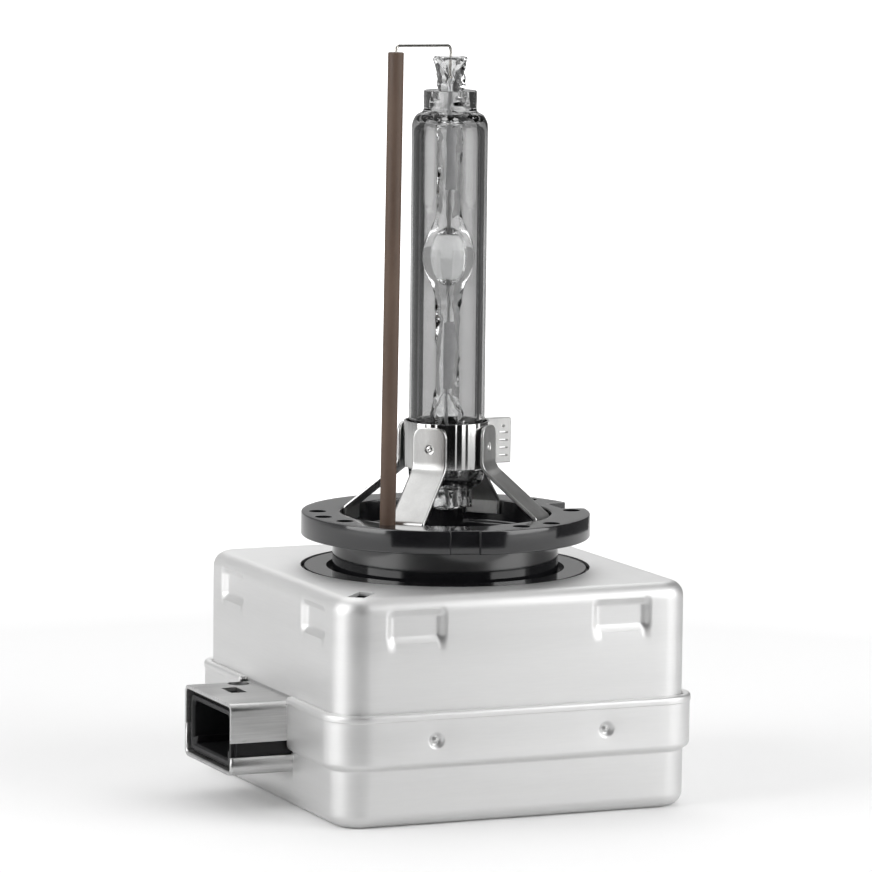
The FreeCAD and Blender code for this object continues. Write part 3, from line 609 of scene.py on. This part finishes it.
def slab(low, high, bevel=0.08 * mm):
    """A closed box with bevelled edges: rounded-rectangle sections stacked along X, closed at both ends."""
    sections = []
    for x, inset in ((low[0], bevel), (low[0] + bevel, 0), (high[0] - bevel, 0), (high[0], bevel)):
        y0, y1, z0, z1 = low[1] + inset, high[1] - inset, low[2] + inset, high[2] - inset
        loop = [(x, y0, z0 + bevel), (x, y0, z1 - bevel), (x, y0 + bevel, z1), (x, y1 - bevel, z1),
                (x, y1, z1 - bevel), (x, y1, z0 + bevel), (x, y1 - bevel, z0), (x, y0 + bevel, z0)]
        sections.append(loop)
    sections = np.array(sections)
    ends = [np.repeat(sections[i:i + 1].mean(1, keepdims=True), 8, 1) for i in (0, -1)]
    return np.vstack([ends[0], sections, ends[1]])


lug_x, lug_z = (4.62 * mm, 7.66 * mm), (5.2 * mm, 10.25 * mm)
plate_from_middle, half_plate = 0.2 * mm, 0.17 * mm
lug_plates = [slab((lug_x[0], y - half_plate, lug_z[0]), (lug_x[1], y + half_plate, lug_z[1]))
              for y in (-plate_from_middle, plate_from_middle)]
lug = new_object("clamp_lug", [(plate, False, True, None) for plate in lug_plates], satin)
slit_x, slit_heights = 6.75 * mm, (8.6, 7.75, 6.9, 6.05)
dot_place, dot_r = np.array((6.7, 9.35)) * mm, 0.2 * mm


def lying_prism(outline, low, high):
    """A closed prism along Y: an outline in X and Z at two places."""
    return prism(outline, low, high)[..., [0, 2, 1]]


slits = [lying_prism(rectangle(1.0 * mm, 0.2 * mm, (slit_x, z * mm)), -mm, mm) for z in slit_heights]
slits.append(lying_prism(dot_r * unit_circle + dot_place, -mm, mm))
punch(lug, slits)
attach(lug, "root")

# ---- legs ----
# Four strips of spring steel, spot-welded to the band and bent out to slots in the cup's rim.
strip_w, strip_t = 3.95 * mm, 0.35 * mm
strip_r, strip_top, bend_z = 5.1 * mm, 9.85 * mm, 5.3 * mm
foot_r, foot_z, foot_end = 11.5 * mm, 0.1 * mm, -1.6 * mm
leg_path = arc_path([(strip_r, 0, strip_top), (strip_r, 0, bend_z), (foot_r, 0, foot_z),
                     (foot_r, 0, foot_end)], [1.6 * mm, 0.4 * mm], steps=14)
spacing = np.linalg.norm(np.diff(leg_path, axis=0), axis=1)
run = np.concatenate([[0], np.cumsum(spacing)])
along_leg = np.unique(np.concatenate([np.linspace(0, run[-1], 100), np.linspace(1.7 * mm, 3.1 * mm, 36)]))
centre_line = np.stack([np.interp(along_leg, run, leg_path[:, axis]) for axis in range(3)], -1)
corner = 1.3 * mm
into_corner = np.maximum(corner - along_leg, 0)
half_width = strip_w / 2 - corner + np.sqrt(np.maximum(corner ** 2 - into_corner ** 2, 0))
across_leg = np.unique(np.concatenate([np.linspace(-1, 1, 21), np.linspace(-0.35, 0.35, 36)]))
leg_grid = np.repeat(centre_line[:, None, :], len(across_leg), 1)
leg_grid[..., 1] += half_width[:, None] * across_leg
weld_down, weld_r = 2.4 * mm, 0.34 * mm
weld = np.hypot(along_leg[:, None] - weld_down, leg_grid[..., 1])
dent = (0.09 * mm * np.exp(-((weld - weld_r) / (0.1 * mm)) ** 2)
        + 0.05 * mm * np.exp(-(weld / (0.09 * mm)) ** 2))
leg_grid[..., 0] -= dent
for corner_name, degrees in (("front_left", -135), ("front_right", -45), ("back_right", 45),
                             ("back_left", 135)):
    c, s = math.cos(math.radians(degrees)), math.sin(math.radians(degrees))
    spun = leg_grid @ np.array([[c, s, 0], [-s, c, 0], [0, 0, 1]])
    leg = new_object("leg_strip_" + corner_name, [(spun, False, False, None)], satin, closed=False)
    plate = leg.modifiers.new("thickness", "SOLIDIFY")
    plate.thickness = strip_t
    plate.offset = -1
    stands_for(leg, "leg_steel", "leg_" + corner_name)

# ---- ceramic tube and return wire ----
# The wire leaves the tip of the burner, crosses over and goes down through a fired brown tube that stands
# on the ring.
tube_foot, tube_head = np.array((-10.11, -7.52, -0.5)) * mm, np.array((-9.72, -7.65, 51.25)) * mm
tube_axis = (tube_head - tube_foot) / np.linalg.norm(tube_head - tube_foot)
side_one = np.cross(tube_axis, (0, 1, 0))
side_one /= np.linalg.norm(side_one)
side_two = np.cross(tube_axis, side_one)
tube_r, mid_wall, bore_r = 0.86 * mm, 0.6 * mm, 0.3 * mm
length = np.linalg.norm(tube_head - tube_foot)
tube_section = arc_path([(mid_wall, 0), (tube_r, 0), (tube_r, length), (bore_r, length), (bore_r, 0),
                         (mid_wall, 0)], [0.05 * mm, 0.1 * mm, 0.08 * mm, 0.05 * mm], steps=4)[:-1]
circle = np.cos(round_turn)[:, None] * side_one + np.sin(round_turn)[:, None] * side_two
tube_grid = tube_foot + tube_section[:, 0, None, None] * circle + tube_section[:, 1, None, None] * tube_axis
brown_ceramic = finish("brown_ceramic", (0.085, 0.052, 0.036), (0.13, 0.085, 0.06), 2.5 * mm, 0.1 * mm,
                       0.5, 0.7, 0.008 * mm, stretch=(1, 1, 0.35))
ceramic = new_object("brown_tube", [(tube_grid, True, True, None)], brown_ceramic)
stands_for(ceramic, "brown_ceramic", "ceramic_tube")


def rod(path, radius, plane_normal, sides=20):
    """A round rod: a circle carried along a path, square to it, with closed ends."""
    tangent = np.gradient(path, axis=0)
    tangent /= np.linalg.norm(tangent, axis=1, keepdims=True)
    side = np.cross(tangent, plane_normal)
    side /= np.linalg.norm(side, axis=1, keepdims=True)
    other = np.cross(tangent, side)
    angle = np.linspace(0, 2 * math.pi, sides, endpoint=False)[None, :, None]
    skin = path[:, None, :] + radius * (np.cos(angle) * side[:, None, :] + np.sin(angle) * other[:, None, :])
    return np.concatenate([np.repeat(path[:1, None, :], sides, 1), skin,
                           np.repeat(path[-1:, None, :], sides, 1)])


nickel = finish("nickel_wire", (0.5, 0.48, 0.45), (0.66, 0.64, 0.6), 1 * mm, 0.08 * mm, 0.18, 0.3,
                0.003 * mm, Metallic=1.0)
wire_r, wire_top, wire_rise, wire_end = 0.16 * mm, 51.5 * mm, 0.45 * mm, 48.0 * mm
wire_foot, under_ring, drop_r = -9.6 * mm, -1.95 * mm, 10.5 * mm
under_foot = tube_foot + tube_axis * ((under_ring - tube_foot[2]) / tube_axis[2])
over_head = tube_head + tube_axis * ((wire_top + wire_rise - tube_head[2]) / tube_axis[2])
drop = under_foot[:2] / np.linalg.norm(under_foot[:2]) * drop_r
wire_path = arc_path([(drop[0], drop[1], wire_foot), (drop[0], drop[1], under_ring), under_foot,
                      over_head, (0, 0, wire_top), (0, 0, wire_end)],
                     [0.6 * mm, 0.6 * mm, 0.6 * mm, 0.7 * mm], steps=10)
wire = new_object("return_lead", [(rod(wire_path, wire_r, (drop[1], -drop[0], 0)), False, True, None)],
                  nickel)
stands_for(wire, "wire_nickel", "return_wire")

# ---- plug socket ----
# A black moulded socket fills the shroud. A thin lip stands forward round its mouth, and a square rib runs
# down each lower corner inside it.
shroud_x, shroud_half, shroud_top, shroud_bottom = -28.0 * mm, 7.1 * mm, -18.9 * mm, -26.8 * mm
socket_resin = finish("socket_resin", (0.006, 0.006, 0.007), (0.012, 0.012, 0.013), 2 * mm, 0.2 * mm,
                      0.35, 0.5, 0.002 * mm, Specular_IOR_Level=0.3)


def socket_ring(x, inset, rib):
    """A rectangle round the shroud's middle, inset from it, with twelve points: three at each corner, of
    which the middle one moves in, by rib at a lower corner and by a little at an upper one."""
    y, z_low, z_high = shroud_half - inset, shroud_bottom + inset, shroud_top - inset
    reach, cut = 0.6 * mm, 0.2 * mm
    ring = [(y, z_low + reach), (y - rib, z_low + rib), (y - reach, z_low), (reach - y, z_low),
            (rib - y, z_low + rib), (-y, z_low + reach), (-y, z_high - reach), (cut - y, z_high - cut),
            (reach - y, z_high), (y - reach, z_high), (y - cut, z_high - cut), (y, z_high - reach)]
    return np.array([(x, *point) for point in ring])


body_inset, lip_out, lip_in, cavity_in, rib = 0.45 * mm, 0.95 * mm, 1.4 * mm, 1.6 * mm, 0.9 * mm
back_x, ledge_x, mouth_x, inside_x, floor_x = -15.9 * mm, -27.2 * mm, -27.65 * mm, -27.4 * mm, -17.5 * mm
toward_middle = 3.5 * mm
socket_rows = [socket_ring(x, inset, inner_rib) for x, inset, inner_rib in (
    (back_x, toward_middle, 0), (back_x, body_inset, 0), (ledge_x, body_inset, 0), (ledge_x, lip_out, 0),
    (mouth_x, lip_out, 0), (mouth_x, lip_in, 0), (inside_x, cavity_in, rib), (floor_x, cavity_in, rib),
    (floor_x, toward_middle, 0))]
closing = [np.broadcast_to(row.mean(0), row.shape) for row in (socket_rows[0], socket_rows[-1])]
socket_grid = np.stack([closing[0]] + socket_rows + [closing[1]])
socket = new_object("plug_socket", [(socket_grid, False, True, None)], socket_resin, sharp_angle=20)
eased = socket.modifiers.new("eased_edges", "BEVEL")
eased.width, eased.segments = 0.07 * mm, 2
eased.limit_method = "ANGLE"
stands_for(socket, "socket_plastic", "connector_housing")

# ---- box covers ----
# Two covers are pressed from bright plated sheet. The upper one is a can with eight soft dents, the lower
# one a tray whose collar goes round the can. Clinch dimples hold them together, and each carries half of
# the plug shroud.
sheet = 0.4 * mm
can_half, tray_half, collar_half = 20.62 * mm, 20.79 * mm, 21.62 * mm
straight = 17.26 * mm
can_top, wall_top, can_foot = -6.01 * mm, -7.9 * mm, -23.35 * mm
tray_floor, opening_r, open_beyond = -30.84 * mm, 16.03 * mm, -19 * mm
split_top, split_low = -23.2 * mm, -24.8 * mm
dent_at, dent_z, dimple_at, dimple_z = 12.05 * mm, -9.2 * mm, 10.0 * mm, -21.45 * mm


def close_lines(low, high, coarse, spots):
    """Grid lines from low to high about coarse apart, finer in each spot of (centre, reach, step)."""
    lines = [np.linspace(low, high, round((high - low) / coarse) + 1)]
    for centre, reach, step in spots:
        lines[0] = lines[0][np.abs(lines[0] - centre) > reach + step / 2]
        lines.append(np.linspace(centre - reach, centre + reach, round(2 * reach / step) + 1))
    return np.unique(np.round(np.concatenate(lines), 9))


def square_walls(reach, height, alongs, press, pressed_sides, corner_steps=12):
    """A rounded-square shell. Every point is at a distance, reach, outside a square of half-size straight:
    reach and height are the profile, alongs the grid lines on each side. press(along, height) is how far
    the sheet is pressed in on the pressed sides. Sides go front, right, back, left, and each is followed by
    its corner."""
    swing = np.linspace(-math.pi / 2, 0, corner_steps + 2)[1:-1]
    foot = np.concatenate([np.stack([alongs, np.full_like(alongs, -straight)], -1),
                           np.tile((straight, -straight), (corner_steps, 1))])
    out = np.concatenate([np.tile((0.0, -1.0), (len(alongs), 1)),
                          np.stack([np.cos(swing), np.sin(swing)], -1)])
    inward = np.zeros((len(reach), len(foot)))
    inward[:, :len(alongs)] = press(alongs[None, :], height[:, None])
    sides = []
    for side in range(4):
        c, s = round(math.cos(side * math.pi / 2)), round(math.sin(side * math.pi / 2))
        quarter = foot + (reach[:, None] - inward * (side in pressed_sides))[..., None] * out
        sides.append(quarter @ np.array([[c, s], [-s, c]]))
    flat = np.concatenate(sides, 1)
    return np.concatenate([flat, np.broadcast_to(height[:, None, None], flat.shape[:2] + (1,))], -1)


def cell_centres(grid):
    """The middle of every cell of a grid that is closed round its columns."""
    ring = np.concatenate([grid, grid[:, :1]], 1)
    return (ring[:-1, :-1] + ring[1:, :-1] + ring[1:, 1:] + ring[:-1, 1:]) / 4


def dents(along, height):
    """Two shallow trays on each side: full depth inside, and eased slopes 1 mm wide all round."""
    depth, half_wide, half_high, slope = 0.62 * mm, 3.55 * mm, 2.0 * mm, 1.0 * mm
    sideways = half_wide - np.abs(np.abs(along) - dent_at)
    upright = half_high - np.abs(height - dent_z)
    return depth * smooth_step(sideways, 0, slope) * smooth_step(upright, 0, slope)


def dimples(along, height):
    """Two clinch marks on each side: a round hollow with a small button left in its middle, in a soft
    dish."""
    away = np.hypot(np.abs(along) - dimple_at, height - dimple_z)
    hollow = 0.42 * mm * (1 - smooth_step(away, 0.35 * mm, 0.95 * mm))
    button = 0.3 * mm * (1 - smooth_step(away, 0.12 * mm, 0.42 * mm))
    dish = 0.07 * mm * np.exp(-(away / (1.7 * mm)) ** 2)
    return hollow - button + dish


can_alongs = close_lines(-straight, straight, 1.1 * mm,
                         [(-shroud_half, 0.2 * mm, 0.2 * mm), (shroud_half, 0.2 * mm, 0.2 * mm),
                          (-dent_at, 3.7 * mm, 0.2 * mm), (dent_at, 3.7 * mm, 0.2 * mm)])
can_reach_out = can_half - straight
can_profile = arc_path([(can_reach_out - 1.9 * mm, can_top), (can_reach_out, can_top),
                        (can_reach_out, wall_top)], [1.65 * mm], steps=10)
can_heights = close_lines(can_foot, wall_top, 1.0 * mm,
                          [(dent_z, 1.2 * mm, 0.15 * mm), (shroud_top, 0.2 * mm, 0.2 * mm)])
can_reach = np.concatenate([can_profile[:-1, 0], np.full(len(can_heights), can_reach_out)])
can_height = np.concatenate([can_profile[:-1, 1], can_heights[::-1]])
can_wall = square_walls(can_reach, can_height, can_alongs, dents, (0, 1, 2, 3))
rim_angle = np.arctan2(can_wall[0, :, 1], can_wall[0, :, 0])
hole_rim = np.stack([opening_r * np.cos(rim_angle), opening_r * np.sin(rim_angle),
                     np.full_like(rim_angle, can_top)], -1)
blend_in = np.linspace(0, 1, 16)[:-1, None, None]
can_grid = np.concatenate([hole_rim * (1 - blend_in) + can_wall[0] * blend_in, can_wall])
can_cells = cell_centres(can_grid)
behind_shroud = can_cells[..., 0] < open_beyond
behind_shroud &= (np.abs(can_cells[..., 1]) < shroud_half) & (can_cells[..., 2] < shroud_top)


def shroud_strip(corners, bend_r, edge_flare):
    """Half of the plug shroud: a bent strip (its outline in Y and Z, rounded at the corners) carried along
    X from the mouth to the wall, where it flares out by edge_flare over a quarter circle."""
    outline = arc_path(corners, [bend_r] * (len(corners) - 2), steps=8)
    tangent = np.gradient(outline, axis=0)
    tangent /= np.linalg.norm(tangent, axis=1, keepdims=True)
    outward = np.stack([-tangent[:, 1], tangent[:, 0]], -1)
    swing = np.linspace(0, math.pi / 2, 7)
    xs = np.concatenate([np.linspace(shroud_x, -can_half - edge_flare, 24),
                         -can_half - edge_flare * (1 - np.sin(swing[1:]))])
    flare = np.concatenate([np.zeros(24), edge_flare * (1 - np.cos(swing[1:]))])
    spread = outline[None] + flare[:, None, None] * outward[None]
    return np.concatenate([np.broadcast_to(xs[:, None, None], spread.shape[:2] + (1,)), spread], -1)


upper_strip = shroud_strip([(-shroud_half, split_top), (-shroud_half, shroud_top), (shroud_half, shroud_top),
                            (shroud_half, split_top)], 0.85 * mm, 0.3 * mm)
plated = finish("plated_sheet", (0.8, 0.8, 0.797), (0.87, 0.87, 0.867), 7 * mm, 0.3 * mm, 0.46, 0.58,
                0.002 * mm, stretch=(0.12, 0.12, 1.6), grain_tone=0.25, Metallic=1.0)
brushed = finish("brushed_sheet", (0.54, 0.54, 0.538), (0.78, 0.78, 0.777), 3 * mm, 0.25 * mm, 0.26, 0.4,
                 0.003 * mm, stretch=(0.05, 1, 1), grain_tone=0.45, Metallic=1.0)
upper = new_object("can", [(can_grid, False, True, ~behind_shroud)], plated, closed=False)
upper_shroud = new_object("can_shroud", [(upper_strip, False, False, None)], brushed, closed=False)


def thicken(thing, thickness):
    """Gives an open sheet its thickness, inwards from the face that shows."""
    layer = thing.modifiers.new("thickness", "SOLIDIFY")
    layer.thickness = thickness
    layer.offset = -1
    layer.use_even_offset = True


thicken(upper, sheet)
thicken(upper_shroud, sheet)
corner_hole = rectangle(3.8 * mm, 1.9 * mm, (-17.0 * mm, -17.0 * mm), math.radians(48))
punch(upper, [prism(corner_hole, -8 * mm, -4 * mm)])
long_hole = rectangle(1.8 * mm, 3.4 * mm, (-24.4 * mm, 1.5 * mm))
lock_hole = 1.2 * mm * unit_circle + np.array((-22.4, 5.3)) * mm
punch(upper_shroud, [prism(hole, shroud_top - mm, shroud_top + mm) for hole in (long_hole, lock_hole)])
stands_for(upper, "cover_steel", "upper_cover")
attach(upper_shroud, "root")

collar_reach, tray_reach = collar_half - straight, tray_half - straight
collar_in, hem_in, hem_z = collar_reach - 0.1 * mm, collar_reach - 0.94 * mm, -18.4 * mm
hem_top = arc_path([(hem_in, -18.8 * mm), (hem_in, hem_z), (collar_reach, hem_z),
                    (collar_reach, -19.15 * mm), (collar_in, -19.2 * mm), (collar_in, -19.45 * mm)],
                   [0.3 * mm, 0.36 * mm, 0.06 * mm, 0.06 * mm])
collar_heights = close_lines(-23.0 * mm, -19.6 * mm, 1.0 * mm, [(dimple_z, 1.1 * mm, 0.11 * mm)])[::-1]
tray_path = arc_path([(collar_in, -23.1 * mm), (collar_in, -24.05 * mm), (tray_reach, -24.5 * mm),
                      (tray_reach, tray_floor), (0.5 * mm, tray_floor)],
                     [0.7 * mm, 0.35 * mm, 1.6 * mm], steps=10)
low_reach = np.concatenate([hem_top[:, 0], np.full(len(collar_heights), collar_in), tray_path[:, 0]])
low_height = np.concatenate([hem_top[:, 1], collar_heights, tray_path[:, 1]])
tray_alongs = close_lines(-straight, straight, 1.1 * mm,
                          [(-shroud_half, 0.2 * mm, 0.2 * mm), (shroud_half, 0.2 * mm, 0.2 * mm),
                           (-dimple_at, 1.1 * mm, 0.11 * mm), (dimple_at, 1.1 * mm, 0.11 * mm)])
tray_wall = square_walls(low_reach, low_height, tray_alongs, dimples, (0, 1, 2))
centre_fill = np.linspace(1, 0, 14)[1:, None, None] * (tray_wall[-1] * (1, 1, 0)) + (0, 0, tray_floor)
tray_grid = np.concatenate([tray_wall, centre_fill])
tray_cells = cell_centres(tray_grid)
at_shroud = tray_cells[..., 0] < open_beyond
at_shroud &= (np.abs(tray_cells[..., 1]) < shroud_half) & (tray_cells[..., 2] > shroud_bottom)
lower_strip = shroud_strip([(shroud_half, split_top - 0.05 * mm), (shroud_half, shroud_bottom),
                            (-shroud_half, shroud_bottom), (-shroud_half, split_low)], 0.85 * mm, 0.3 * mm)
lower = new_object("tray", [(tray_grid, False, True, ~at_shroud)], plated, closed=False)
lower_shroud = new_object("tray_shroud", [(lower_strip, False, False, None)], brushed, closed=False)
thicken(lower, sheet)
thicken(lower_shroud, sheet)
stands_for(lower, "cover_steel", "lower_cover")
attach(lower_shroud, "root")
